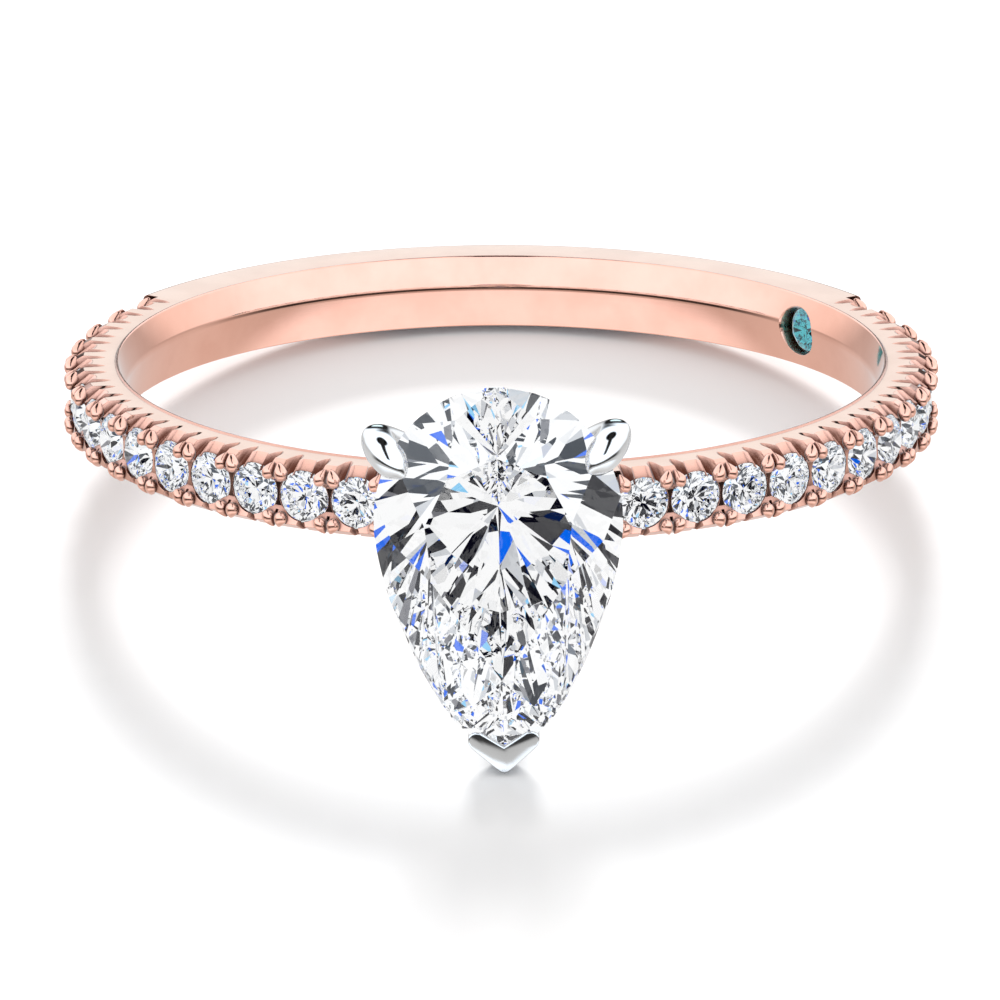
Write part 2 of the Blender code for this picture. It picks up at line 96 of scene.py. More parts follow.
# Graver's cuts: half sections, open towards +Y, and where and how steeply each enters the side
PANEL_HALF = [(0.0, 0.0), (0.15, 0.015), (0.20, 0.09), (0.27, 0.30), (0.27, 1.0)]
PANEL_START = 8.97
PANEL_TILT = math.radians(46)
LEAF_HALF = [(0.0, 0.0), (0.045, 0.03), (0.09, 0.085), (0.145, 0.26), (0.145, 0.9)]
LEAF_START = 8.70
LEAF_TILT = math.radians(33)
LEAF_OFFSET = 0.335
NOTCH_HALF = [(0.0, 0.0), (0.05, 0.03), (0.10, 0.14), (0.13, 0.5), (0.13, 1.0)]
NOTCH_START = 9.08
CUT_REACH = 1.6

# Signature stone
SIGNATURE_ANGLE = math.radians(128.2)
SIGNATURE_RADIUS = 0.485
SIGNATURE_GIRDLE_AT = 8.56
SIGNATURE_MOUTH_RADIUS = 0.585

# Round brilliant, over its girdle radius
TABLE_SHARE = 0.56
CROWN_SHARE = 0.31
PAVILION_SHARE = 0.87
GIRDLE_SHARE = 0.04
STAR_SHARE = 0.45
LOWER_HALF_SHARE = 0.78

# Centre stone, in the head's frame: x right, y along the finger, z away from the finger
PEAR_HALF_WIDTH = 2.71
PEAR_ROUND_LENGTH = 3.04
PEAR_POINT_LENGTH = 5.32
PEAR_WIDEST_AT = 0.70
PEAR_CULET_AT = 0.95
PEAR_POINT_HALF_ANGLE = math.radians(55)
PEAR_BELLY_HANDLE = 0.55
PEAR_POINT_HANDLE = 2.78
PEAR_GIRDLE_AT = 12.70
PEAR_CROWN = 0.85
PEAR_PAVILION = 2.30
PEAR_GIRDLE = 0.06
PEAR_TABLE_SHARE = 0.60
PEAR_TABLE_CENTRE = -0.60
PEAR_CROWN_ANGLES = (90, 48, 6, -38, -90, 218, 174, 132)
PEAR_PAVILION_ANGLES = (90, 48, 6, -30, -54, -76, 256, 234, 210, 174, 132)

# Head
HEAD_TURN = math.radians(1.4)
RAIL_RADIUS = 0.28
RAIL_AT = 11.35
RAIL_SHARE = 0.62
BASE_TOP = [(0, 9.92), (0.30, 9.925), (0.55, 9.97), (0.72, 10.05), (0.80, 10.10), (0.95, 10.10),
            (0.98, 10.07)]
BASE_DISH_RADIUS = 0.80
BASE_FOOT = 9.615
SOCKET_RADIUS = 0.495
SOCKET_FLOOR = 8.785
SOCKET_TOP = 9.90
PEG_RADIUS = 0.48
PEG_END = 8.80
CLAW_ANGLES = {"claw_right": math.radians(45), "claw_left": math.radians(135)}
CLAW_CENTRE_LINE = [(0.70, 9.86), (1.75, 10.55), (2.93, 11.55), (3.56, 12.45), (3.57, 12.88),
                    (3.44, 13.14), (3.22, 13.265), (3.05, 13.255), (2.90, 13.20)]
CLAW_FAN_CENTRE = (1.2, 12.2)
CLAW_RADIUS = 0.375
CLAW_TAPER_FROM = 30
CLAW_RIDGE = 0.10
STRUT_CENTRE_LINE = [(0.70, 9.84), (2.10, 10.55), (3.60, 11.55), (4.42, 12.30)]
STRUT_RADIUS = 0.38
PATH_STEPS = 6
LOFT_SIDES = 40
CHEVRON_HALF = [
    (0.00, -4.88), (0.09, -4.85), (0.64, -4.36), (0.75, -4.22), (0.775, -4.10),
    (0.73, -3.99), (0.63, -3.93), (0.50, -3.94), (0.00, -4.27),
]
CHEVRON_FROM = 12.20
CHEVRON_TO = 13.14
CHEVRON_RIDGE = (0, -4.4, 13.09)
CHEVRON_SIDE_SLOPE = math.radians(4)
CHEVRON_END_SLOPE = math.radians(5.5)
CHEVRON_EDGE = 0.035

# Limits for meeting corners, in millimetres or as a share
WELD = 1e-4
SNAP = 2e-4
CORNER_SHARE = 1e-4


# Mesh helpers


def radial(angle, distance):
    """Frame of something that stands on the band: its Z points away from the finger."""
    turn = Matrix.Rotation(angle, 4, "Z")
    return turn @ Matrix.Translation((0, -distance, 0)) @ Matrix.Rotation(QUARTER_TURN, 4, "X")


HEAD = radial(0.0, 0.0) @ Matrix.Rotation(HEAD_TURN, 4, "Z")


def to_mesh(bm, name):
    mesh = bpy.data.meshes.new(name)
    bm.to_mesh(mesh)
    bm.free()
    return mesh


def shade(mesh, angle):
    """Smooth shading with sharp edges above an angle in degrees."""
    mesh.shade_smooth()
    mesh.set_sharp_from_angle(angle=math.radians(angle))


def linked(name, data):
    thing = bpy.data.objects.new(name, data)
    bpy.context.scene.collection.objects.link(thing)
    return thing


def raise_face(bm, face, height):
    """Turn a flat face into a block along Z."""
    lifted = bmesh.ops.extrude_face_region(bm, geom=[face])
    raised = [item for item in lifted["geom"] if isinstance(item, bmesh.types.BMVert)]
    bmesh.ops.translate(bm, verts=raised, vec=(0, 0, height))
    bmesh.ops.recalc_face_normals(bm, faces=bm.faces[:])


def baked(thing):
    """The welded mesh of an object with its modifiers and matrix applied. The object is removed."""
    bpy.context.view_layer.update()
    graph = bpy.context.evaluated_depsgraph_get()
    mesh = bpy.data.meshes.new_from_object(thing.evaluated_get(graph))
    mesh.transform(thing.matrix_world)
    bpy.data.objects.remove(thing)
    bm = bmesh.new()
    bm.from_mesh(mesh)
    bmesh.ops.remove_doubles(bm, verts=bm.verts[:], dist=WELD)
    bmesh.ops.recalc_face_normals(bm, faces=bm.faces[:])
    bm.to_mesh(mesh)
    bm.free()
    return mesh


def combined(mesh, tools):
    """A mesh after a list of (operation, tool mesh) solid Booleans."""
    thing = linked("temp", mesh)
    helpers = []
    for operation, tool in tools:
        helper = linked("temp", tool)
        helpers.append(helper)
        modifier = thing.modifiers.new("cut", "BOOLEAN")
        modifier.operation = operation
        modifier.solver = "MANIFOLD"
        modifier.object = helper
    result = baked(thing)
    for helper in helpers:
        bpy.data.objects.remove(helper)
    return result


def turned(name, points, steps, closed=False):
    """A solid of revolution about Z. An open outline starts and ends on the axis."""
    bm = bmesh.new()
    verts = [bm.verts.new((radius, 0, height)) for radius, height in points]
    following = verts[1:] + verts[:1] if closed else verts[1:]
    edges = [bm.edges.new(pair) for pair in zip(verts, following)]
    bmesh.ops.spin(bm, geom=verts + edges, axis=(0, 0, 1), cent=(0, 0, 0), angle=math.tau,
                   steps=steps, use_merge=True)
    bmesh.ops.remove_doubles(bm, verts=bm.verts[:], dist=WELD)
    bmesh.ops.recalc_face_normals(bm, faces=bm.faces[:])
    return to_mesh(bm, name)


def copies(name, mesh, matrices):
    """One mesh with a copy of another at each matrix."""
    bm = bmesh.new()
    for matrix in matrices:
        before = len(bm.verts)
        bm.from_mesh(mesh)
        bm.verts.ensure_lookup_table()
        fresh = bm.verts[before:]
        bmesh.ops.transform(bm, matrix=matrix, verts=fresh)
        if matrix.determinant() < 0:
            faces = {face for vert in fresh for face in vert.link_faces}
            bmesh.ops.reverse_faces(bm, faces=list(faces))
    return to_mesh(bm, name)


def arc(centre, radius, start, end, count):
    """Points on an arc between two angles in degrees."""
    turns = [math.radians(start + (end - start) * i / count) for i in range(count + 1)]
    return [(centre[0] + radius * math.cos(turn), centre[1] + radius * math.sin(turn))
            for turn in turns]


def loft(name, path, ups, section):
    """A solid along a path. section(i, turn) gives (across, up) of its skin at station i."""
    bm = bmesh.new()
    rings = []
    count = len(path)
    for i, point in enumerate(path):
        ahead = (path[min(i + 1, count - 1)] - path[max(i - 1, 0)]).normalized()
        up = (ups[i] - ahead * ups[i].dot(ahead)).normalized()
        across = ahead.cross(up)
        ring = []
        for k in range(LOFT_SIDES):
            a, b = section(i, math.tau * k / LOFT_SIDES)
            ring.append(bm.verts.new(point + across * a + up * b))
        rings.append(ring)
    for ring, following in zip(rings, rings[1:]):
        for k in range(LOFT_SIDES):
            after = (k + 1) % LOFT_SIDES
            bm.faces.new((ring[k], ring[after], following[after], following[k]))
    bm.faces.new(list(reversed(rings[0])))
    bm.faces.new(rings[-1])
    bmesh.ops.recalc_face_normals(bm, faces=bm.faces[:])
    return to_mesh(bm, name)


def smooth_path(corners, count):
    """Points along a smooth curve through corners."""
    corners = [Vector(corner) for corner in corners]
    points = []
    ends = [2 * corners[0] - corners[1]] + corners + [2 * corners[-1] - corners[-2]]
    for before, start, end, after in zip(ends, ends[1:], ends[2:], ends[3:]):
        run = interpolate_bezier(start, start + (end - before) / 6, end - (after - start) / 6, end,
                                 count + 1)
        points += run[:-1]
    return points + [corners[-1]]


# Stones, cut facet by facet


def circle(radius, count):
    turns = [math.tau * i / count for i in range(count)]
    return [Vector((radius * math.cos(turn), radius * math.sin(turn))) for turn in turns]


def pear_outline(round_count, side_count):
    """The pear's girdle about its culet, anticlockwise from the widest point on the right."""
    centre = PEAR_WIDEST_AT - PEAR_CULET_AT
    points = []
    for i in range(round_count + 1):
        angle = math.pi * i / round_count
        points.append(Vector((PEAR_HALF_WIDTH * math.cos(angle),
                              centre + PEAR_ROUND_LENGTH * math.sin(angle))))
    tip = Vector((0, centre - PEAR_POINT_LENGTH))
    flank = Vector((-math.sin(PEAR_POINT_HALF_ANGLE), math.cos(PEAR_POINT_HALF_ANGLE)))
    belly = points[-1]
    left = interpolate_bezier(belly, belly - Vector((0, PEAR_BELLY_HANDLE)),
                              tip + flank * PEAR_POINT_HANDLE, tip, side_count + 1)
    left = [Vector(point[:2]) for point in left[1:]]
    right = [Vector((-point.x, point.y)) for point in reversed(left[:-1])]
    return points + left + right


def on_outline(outline, angle):
    """Where a ray from the culet meets the outline, and the outline's direction there."""
    ray = Vector((math.cos(angle), math.sin(angle)))
    count = len(outline)
    for i in range(count):
        start, end = outline[i], outline[(i + 1) % count]
        side = end - start
        spread = ray.x * side.y - ray.y * side.x
        if abs(spread) < 1e-12:
            continue
        along = (start.x * side.y - start.y * side.x) / spread
        share = (start.x * ray.y - start.y * ray.x) / spread
        if along > 0 and -CORNER_SHARE <= share < 1 - CORNER_SHARE:
            if share < CORNER_SHARE:
                side = side.normalized() + (start - outline[i - 1]).normalized()
            return ray * along, side.normalized()
    raise ValueError("the ray misses the outline")


def lift(point, height):
    return Vector((point.x, point.y, height))


def ridge_point(plane_a, plane_b, height):
    """Where two facet planes meet at a height."""
    normal_a, reach_a = plane_a
    normal_b, reach_b = plane_b
    right_a = reach_a - normal_a.z * height
    right_b = reach_b - normal_b.z * height
    spread = normal_a.x * normal_b.y - normal_a.y * normal_b.x
    return Vector(((right_a * normal_b.y - right_b * normal_a.y) / spread,
                   (normal_a.x * right_b - normal_b.x * right_a) / spread, height))


def sloped_plane(low, high, direction):
    """The plane through two points that runs along a direction at the girdle."""
    normal = (high - low).cross(lift(direction, 0)).normalized()
    if normal.dot(low + high) < 0:
        normal.negate()
    return normal, normal.dot(low)


def grind(bm, normal, point):
    """Cut off what lies outside a plane and close the stone with the new facet."""
    everything = bm.verts[:] + bm.edges[:] + bm.faces[:]
    cut = bmesh.ops.bisect_plane(bm, geom=everything, dist=SNAP, plane_co=point, plane_no=normal,
                                 clear_outer=True)
    rim = [edge for edge in cut["geom_cut"] if isinstance(edge, bmesh.types.BMEdge)]
    rim = [edge for edge in rim if edge.is_valid and edge.is_boundary]
    if rim:
        bmesh.ops.holes_fill(bm, edges=rim)


def facet(bm, a, b, c):
    """Grind the plane through three points."""
    normal = (b - a).cross(c - a).normalized()
    if normal.dot(a) < 0:
        normal.negate()
    grind(bm, normal, a)


def half_angles(angles):
    """The angle halfway between each angle and the next, in degrees."""
    middles = []
    for angle, following in zip(angles, angles[1:] + angles[:1]):
        step = (following - angle + 180) % 360 - 180
        middles.append(angle + step / 2)
    return middles


def brilliant(name, outline, crown_angles, pavilion_angles, table_share, table_centre, crown,
              pavilion, girdle, grow=0.0):
    """A brilliant with its girdle at z = 0 and its culet on the Z axis. Angles are in degrees."""
    table_centre = Vector((0, table_centre))
    half_girdle = girdle / 2
    blank = bmesh.new()
    low = [blank.verts.new(lift(point, -pavilion - 1)) for point in outline]
    raise_face(blank, blank.faces.new(list(reversed(low))), pavilion + crown + 2)

    tops = [on_outline(outline, math.radians(angle)) for angle in crown_angles]
    table = [lift(table_centre + (point - table_centre) * table_share, half_girdle + crown)
             for point, _ in tops]
    bezels = [sloped_plane(lift(point, half_girdle), corner, direction)
              for (point, direction), corner in zip(tops, table)]
    grind(blank, Vector((0, 0, 1)), Vector((0, 0, half_girdle + crown)))
    for i, middle in enumerate(half_angles(crown_angles)):
        after = (i + 1) % len(tops)
        corner_a, corner_b = lift(tops[i][0], half_girdle), lift(tops[after][0], half_girdle)
        half = lift(on_outline(outline, math.radians(middle))[0], half_girdle)
        star = ridge_point(bezels[i], bezels[after], half_girdle + crown * STAR_SHARE)
        grind(blank, bezels[i][0], corner_a)
        facet(blank, table[i], table[after], star)
        facet(blank, corner_a, half, star)
        facet(blank, corner_b, half, star)

    lows = [on_outline(outline, math.radians(angle)) for angle in pavilion_angles]
    culet = Vector((0, 0, -half_girdle - pavilion))
    mains = [sloped_plane(lift(point, -half_girdle), culet, direction) for point, direction in lows]
    for i, middle in enumerate(half_angles(pavilion_angles)):
        after = (i + 1) % len(lows)
        corner_a, corner_b = lift(lows[i][0], -half_girdle), lift(lows[after][0], -half_girdle)
        half = lift(on_outline(outline, math.radians(middle))[0], -half_girdle)
        lower = ridge_point(mains[i], mains[after], -half_girdle - pavilion * LOWER_HALF_SHARE)
        grind(blank, mains[i][0], corner_a)
        facet(blank, corner_a, half, lower)
        facet(blank, corner_b, half, lower)
    if grow:
        blank.normal_update()
        for vert in blank.verts:
            vert.co += vert.calc_shell_factor() * vert.normal * grow
    bmesh.ops.dissolve_degenerate(blank, edges=blank.edges[:], dist=SNAP / 2)
    return to_mesh(blank, name)


ROUND_ANGLES = tuple(range(0, 360, 45))


def round_brilliant(name, radius):
    return brilliant(name, circle(radius, 32), ROUND_ANGLES, ROUND_ANGLES, TABLE_SHARE, 0.0,
                     radius * CROWN_SHARE, radius * PAVILION_SHARE, radius * GIRDLE_SHARE)


def pear_brilliant(name, grow=0.0):
    return brilliant(name, pear_outline(48, 24), PEAR_CROWN_ANGLES, PEAR_PAVILION_ANGLES,
                     PEAR_TABLE_SHARE, PEAR_TABLE_CENTRE, PEAR_CROWN, PEAR_PAVILION, PEAR_GIRDLE,
                     grow=grow)


PEAR_FRAME = HEAD @ Matrix.Translation((0, PEAR_CULET_AT, PEAR_GIRDLE_AT))


# Materials

# reach and fade of the painted shade in the metal's hollows
SHADE_REACH = 0.3
SHADE_FADE = (0.60, 0.90)
METAL_ROUGHNESS = (0.05, 0.11)
METAL_EDGE = 0.02
SCRATCH_DEPTH = 0.002
DIAMOND_IOR = 2.417


def new_material(name):
    material = bpy.data.materials.new(name)
    material.use_nodes = True
    nodes = material.node_tree.nodes
    return material, nodes, material.node_tree.links, nodes["Principled BSDF"]


def noise(nodes, links, vector, scale, detail):
    node = nodes.new("ShaderNodeTexNoise")
    node.inputs["Scale"].default_value = scale
    node.inputs["Detail"].default_value = detail
    links.new(vector, node.inputs["Vector"])
    return node


def clouded(nodes, links, cloud, low, high):
    """A colour that drifts between two (position, colour) stops with a noise."""
    node = nodes.new("ShaderNodeValToRGB")
    for stop, (position, colour) in zip(node.color_ramp.elements, (low, high)):
        stop.position = position
        stop.color = (*colour, 1)
    links.new(cloud.outputs["Fac"], node.inputs["Fac"])
    return node.outputs["Color"]


def mapped(nodes, links, value, source, target=(0, 1), interpolation="LINEAR"):
    """A value mapped from one (start, end) range to another."""
    node = nodes.new("ShaderNodeMapRange")
    node.interpolation_type = interpolation
    node.inputs["From Min"].default_value, node.inputs["From Max"].default_value = source
    node.inputs["To Min"].default_value, node.inputs["To Max"].default_value = target
    links.new(value, node.inputs["Value"])
    return node.outputs["Result"]


def polished_metal(name, colour, dark, crevice_shade):
    """Cast and polished metal: a slight cloud in the colour, painted shade in its hollows, buffing
    scratches and soft edges.
    """
    material, nodes, links, shader = new_material(name)
    shader.inputs["Metallic"].default_value = 1.0
    place = nodes.new("ShaderNodeTexCoord").outputs["Object"]
    tint = clouded(nodes, links, noise(nodes, links, place, 900, 3), (0.35, dark), (0.6, colour))

    # painted shade: where ambient occlusion finds hollows, the colour is darkened towards a dark
    # colour
    occlusion = nodes.new("ShaderNodeAmbientOcclusion")
    occlusion.samples = 8
    occlusion.inputs["Distance"].default_value = SHADE_REACH * METRES
    shaded_tint = nodes.new("ShaderNodeMix")
    shaded_tint.data_type = "RGBA"
    shaded_tint.inputs["A"].default_value = (*crevice_shade, 1)
    links.new(mapped(nodes, links, occlusion.outputs["AO"], SHADE_FADE), shaded_tint.inputs["Factor"])
    links.new(tint, shaded_tint.inputs["B"])
    links.new(shaded_tint.outputs["Result"], shader.inputs["Base Color"])

    squash = nodes.new("ShaderNodeMapping")
    squash.inputs["Scale"].default_value = (1, 1, 14)
    links.new(place, squash.inputs["Vector"])
    buff = noise(nodes, links, squash.outputs["Vector"], 2600, 6)
    buff.inputs["Roughness"].default_value = 0.7
    links.new(mapped(nodes, links, buff.outputs["Fac"], (0.3, 0.75), METAL_ROUGHNESS),
              shader.inputs["Roughness"])

    soft = nodes.new("ShaderNodeBevel")
    soft.samples = 4
    soft.inputs["Radius"].default_value = METAL_EDGE * METRES
    bump = nodes.new("ShaderNodeBump")
    bump.inputs["Strength"].default_value = 0.05
    bump.inputs["Distance"].default_value = SCRATCH_DEPTH * METRES
    links.new(buff.outputs["Fac"], bump.inputs["Height"])
    links.new(soft.outputs["Normal"], bump.inputs["Normal"])
    links.new(bump.outputs["Normal"], shader.inputs["Normal"])
    return material


def gem(name, colour, cloudy):
    """A clear stone with a faint cloud in its colour. Its outer gloss is toned down."""
    material, nodes, links, shader = new_material(name)
    place = nodes.new("ShaderNodeTexCoord").outputs["Object"]
    tint = clouded(nodes, links, noise(nodes, links, place, 700, 2), (0.35, cloudy),
                   (0.65, colour))
    links.new(tint, shader.inputs["Base Color"])
    shader.inputs["Roughness"].default_value = 0.0
    shader.inputs["IOR"].default_value = DIAMOND_IOR
    shader.inputs["Transmission Weight"].default_value = 1.0
    shader.inputs["Specular Tint"].default_value = (0.35, 0.35, 0.35, 1)
    return material


# the third colour of each metal is the painted shade in its hollows
ROSE = polished_metal("polished_rose_gold", (0.92, 0.505, 0.385), (0.87, 0.46, 0.345),
                      (0.08, 0.02, 0.01))
WHITE = polished_metal("polished_white_gold", (0.84, 0.84, 0.84), (0.79, 0.79, 0.79),
                       (0.14, 0.14, 0.15))
DIAMOND = gem("cut_diamond", (1.0, 1.0, 1.0), (0.985, 0.99, 0.995))
TEAL = gem("cut_teal_diamond", (0.10, 0.55, 0.60), (0.05, 0.36, 0.42))


def piece(name, mesh, material, slot, *nodes):
    """Put a finished mesh in the scene, in metres, in place of CAD nodes."""
    mesh.transform(Matrix.Scale(METRES, 4))
    mesh.materials.clear()
    mesh.materials.append(material)
    thing = linked(name, mesh)
    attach(thing, "root")
    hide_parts(*nodes)
    # a clean studio look: polished faces mirror the cards, not the ring itself
    thing.visible_glossy = thing.visible_transmission = "diamond" in slot
    return thing


# Shank


def band_profile():
    """The band's section: a bore that opens both ways from a crease, thin rims and soft edges."""
    outer = BAND_RADIUS - OUTER_ROUNDING
    mouth = RIM_HALF_WIDTH - RIM_ROUNDING
    halves = []
    for flare, crease_at in ((UPPER_FLARE, CREASE_AT), (LOWER_FLARE, -CREASE_AT)):
        inner = FINGER_RADIUS + (mouth - crease_at) * math.tan(flare) + RIM_ROUNDING
        half = arc((outer, BAND_HALF_WIDTH - OUTER_ROUNDING), OUTER_ROUNDING, 0, 90, 10)
        half += [(RIM_RADIUS + RIM_SLOPE + RIM_STEP, BAND_HALF_WIDTH),
                 (RIM_RADIUS + RIM_SLOPE, BAND_HALF_WIDTH + RIM_STEP),
                 (RIM_RADIUS + RIM_STEP * 0.4, RIM_HALF_WIDTH - RIM_STEP * 0.4),
                 (RIM_RADIUS - RIM_STEP, RIM_HALF_WIDTH)]
        half += arc((inner, mouth), RIM_ROUNDING, 90, 180 - math.degrees(flare), 8)
        half += [(FINGER_RADIUS + beyond * math.tan(flare), crease_at + beyond)
                 for beyond in (2 * CREASE_SOFT, CREASE_SOFT)]
        halves.append(half)
    upper, lower = halves
    return list(reversed(upper)) + [(radius, -height) for radius, height in lower]


def seat_outline():
    """The room for a small stone, with a neck where its claws reach over it."""
    radius = MELEE_RADIUS + FIT
    girdle = MELEE_RADIUS * GIRDLE_SHARE / 2 + FIT / 2
    neck = radius - CLAW_OVERHANG
    lip = girdle + CLAW_OVERHANG * CROWN_SHARE / (1 - TABLE_SHARE) + FIT
    top = BAND_RADIUS - MELEE_GIRDLE_AT + 0.3
    bottom = -girdle - MELEE_RADIUS * PAVILION_SHARE - 2 * FIT
    return [(0, top), (neck, top), (neck, lip), (radius, girdle), (radius, -girdle), (0, bottom)]


def bar(name, outline, reach, matrix):
    """A bar with a section in its local XY plane, from z = -reach to z = reach."""
    bm = bmesh.new()
    low = [bm.verts.new((x, y, -reach)) for x, y in outline]
    raise_face(bm, bm.faces.new(low), 2 * reach)
    bmesh.ops.transform(bm, matrix=matrix, verts=bm.verts[:])
    return to_mesh(bm, name)


def mirrored(half):
    return half + [(-x, y) for x, y in reversed(half[1:])]


def cut_frame(angle, side, start, tilt, offset=0.0):
    """Frame of a graver's cut that enters the band's side at a radius and runs outwards."""
    flip = Matrix.Scale(side, 4, (0, 1, 0))
    at = Matrix.Translation((offset, BAND_HALF_WIDTH, 0))
    return radial(angle, start) @ flip @ at @ Matrix.Rotation(tilt, 4, "X")


def bead_mesh():
    """One claw of a pair: a drop that is narrow at the band's edge and round over the stone."""
    bm = bmesh.new()
    bmesh.ops.create_uvsphere(bm, u_segments=32, v_segments=20, radius=1)
    width, length, height = BEAD_SIZE
    for vert in bm.verts:
        x, y, z = vert.co
        vert.co = Vector((x * width * (1 - BEAD_TAPER * max(y, BEAD_WIDEST_AT)), y * length,
                          z * height * (1 - BEAD_FLATTENING * max(y, 0))))
    return to_mesh(bm, "bead")


def pave_angles():
    """The node and the angle of every small stone."""
    for side, sign in (("left", -1), ("right", 1)):
        for i in range(MELEE_PER_SIDE):
            yield f"melee_{side}_{i + 1:02d}", sign * (MELEE_FIRST_ANGLE + i * MELEE_PITCH)


def gap_angles():
    """The angles halfway between the small stones, and beyond the first and the last."""
    first = MELEE_FIRST_ANGLE - MELEE_PITCH / 2
    for sign in (-1, 1):
        for i in range(MELEE_PER_SIDE + 1):
            yield sign * (first + i * MELEE_PITCH)


def make_channel():
    """What is cut off the band's crown between the stones, so that the claws rise as beads."""
    first = MELEE_FIRST_ANGLE - MELEE_PITCH * 0.5
    last = MELEE_FIRST_ANGLE + MELEE_PITCH * (MELEE_PER_SIDE - 0.5)
    bm = bmesh.new()
    for sign in (-1, 1):
        rings = []
        for i in range(CHANNEL_STEPS + 1):
            angle = sign * (first + (last - first) * i / CHANNEL_STEPS)
            turn = Matrix.Rotation(angle, 4, "Z")
            rings.append([bm.verts.new(turn @ Vector((0, -radius, height)))
                          for radius, height in CHANNEL_SECTION])
        for ring, following in zip(rings, rings[1:]):
            for k, corner in enumerate(ring):
                after = (k + 1) % len(ring)
                bm.faces.new((corner, ring[after], following[after], following[k]))
        bm.faces.new(rings[0])
        bm.faces.new(rings[-1])
    bmesh.ops.recalc_face_normals(bm, faces=bm.faces[:])
    return to_mesh(bm, "channel")


def make_beads():
    dip = Matrix.Rotation(-BEAD_DIP, 4, "X")
    matrices = []
    for angle in gap_angles():
        for side in (-1, 1):
            for hand in (-1, 1):
                lean = Matrix.Rotation(BEAD_LEAN * hand * side, 4, "Z")
                at = Matrix.Translation((hand * BEAD_ACROSS, side * BEAD_FROM_MIDDLE, 0))
                flip = Matrix.Scale(side, 4, (0, 1, 0))
                matrices.append(radial(angle, BEAD_AT) @ at @ lean @ flip @ dip)
    return copies("beads", bead_mesh(), matrices)


def make_signature_seat():
    radius = SIGNATURE_RADIUS + FIT
    girdle = SIGNATURE_RADIUS * GIRDLE_SHARE / 2 + FIT / 2
    mouth = SIGNATURE_GIRDLE_AT - FINGER_RADIUS
    slope = (SIGNATURE_MOUTH_RADIUS - radius) / (mouth - girdle)
    top = mouth + 0.2
    bottom = -girdle - SIGNATURE_RADIUS * PAVILION_SHARE - 2 * FIT
    outline = [(0, top), (radius + (top - girdle) * slope, top), (radius, girdle),
               (radius, -girdle), (0, bottom)]
    mesh = turned("signature_seat", outline, 64)
    mesh.transform(signature_frame())
    return mesh


def make_shank():
    band = turned("shank_gold", band_profile(), BAND_STEPS, closed=True)
    angles = [angle for _, angle in pave_angles()]
    seat = turned("seat", seat_outline(), 48)
    seats = copies("seats", seat, [radial(angle, MELEE_GIRDLE_AT) for angle in angles])

    # wide panels and pointed leaves on the upper side, narrow notches on the lower side
    cuts = []
    for half, side, start, tilt, offset in (
            (PANEL_HALF, 1, PANEL_START, PANEL_TILT, 0.0),
            (LEAF_HALF, 1, LEAF_START, LEAF_TILT, LEAF_OFFSET),
            (LEAF_HALF, 1, LEAF_START, LEAF_TILT, -LEAF_OFFSET),
            (NOTCH_HALF, -1, NOTCH_START, PANEL_TILT, 0.0)):
        tool = bar("cut", mirrored(half), CUT_REACH, Matrix.Identity(4))
        frames = [cut_frame(angle, side, start, tilt, offset) for angle in angles]
        cuts.append(("DIFFERENCE", copies("cuts", tool, frames)))

    split = bar("split", SPLIT_PLAN, SPLIT_DEPTH, Matrix.Translation((0, 0, SPLIT_DEPTH)))
    splits = copies("splits", split, [radial(angle, SPLIT_AT) for angle in gap_angles()])
    socket = turned("socket", [(0, SOCKET_TOP), (SOCKET_RADIUS, SOCKET_TOP),
                               (SOCKET_RADIUS, SOCKET_FLOOR), (0, SOCKET_FLOOR)], 48)
    socket.transform(HEAD)

    mesh = combined(band, [("DIFFERENCE", make_channel()), *cuts, ("UNION", make_beads()),
                           ("DIFFERENCE", seats), ("DIFFERENCE", splits),
                           ("DIFFERENCE", make_signature_seat()), ("DIFFERENCE", socket)])
    shade(mesh, 28)
    return mesh


def signature_frame():
    """Frame of the signature stone: its Z points at the finger's axis."""
    return radial(SIGNATURE_ANGLE, SIGNATURE_GIRDLE_AT) @ Matrix.Rotation(math.pi, 4, "X")


piece("shank_gold", make_shank(), ROSE, "rose_gold", "shank")

# the small stones are turned in their seats, so that they don't all flash alike
melee = round_brilliant("melee", MELEE_RADIUS)
for node, angle in pave_angles():
    stone = melee.copy()
    turn = Matrix.Rotation(angle * MELEE_TURN, 4, "Z")
    stone.transform(radial(angle, MELEE_GIRDLE_AT) @ turn)
    piece(node + "_cut", stone, DIAMOND, "diamond", node)

stone = round_brilliant("signature", SIGNATURE_RADIUS)
stone.transform(signature_frame())
piece("signature_stone_cut", stone, TEAL, "teal_diamond", "signature_stone")

stone = pear_brilliant("centre")
stone.transform(PEAR_FRAME)
piece("centre_stone_cut", stone, DIAMOND, "diamond", "centre_stone").visible_shadow = False


# Head


def make_base(extra=0.0):
    """The turned base with its peg. With extra it is the room that the base needs."""
    outline = [(radius + (extra if radius >= BASE_DISH_RADIUS else 0.0), height + extra)
               for radius, height in BASE_TOP]
    outline += [(0.98 + extra, 9.99 - extra), (0.90 + extra, 9.90), (0.80 + extra, 9.82),
                (0.765 + extra, 9.74), (0.76 + extra, 9.63),
                (0.745 + extra, BASE_FOOT - extra), (PEG_RADIUS + extra, BASE_FOOT - extra),
                (PEG_RADIUS + extra, PEG_END - extra), (0, PEG_END - extra)]
    mesh = turned("base", outline, 96)
    mesh.transform(HEAD)
    return mesh


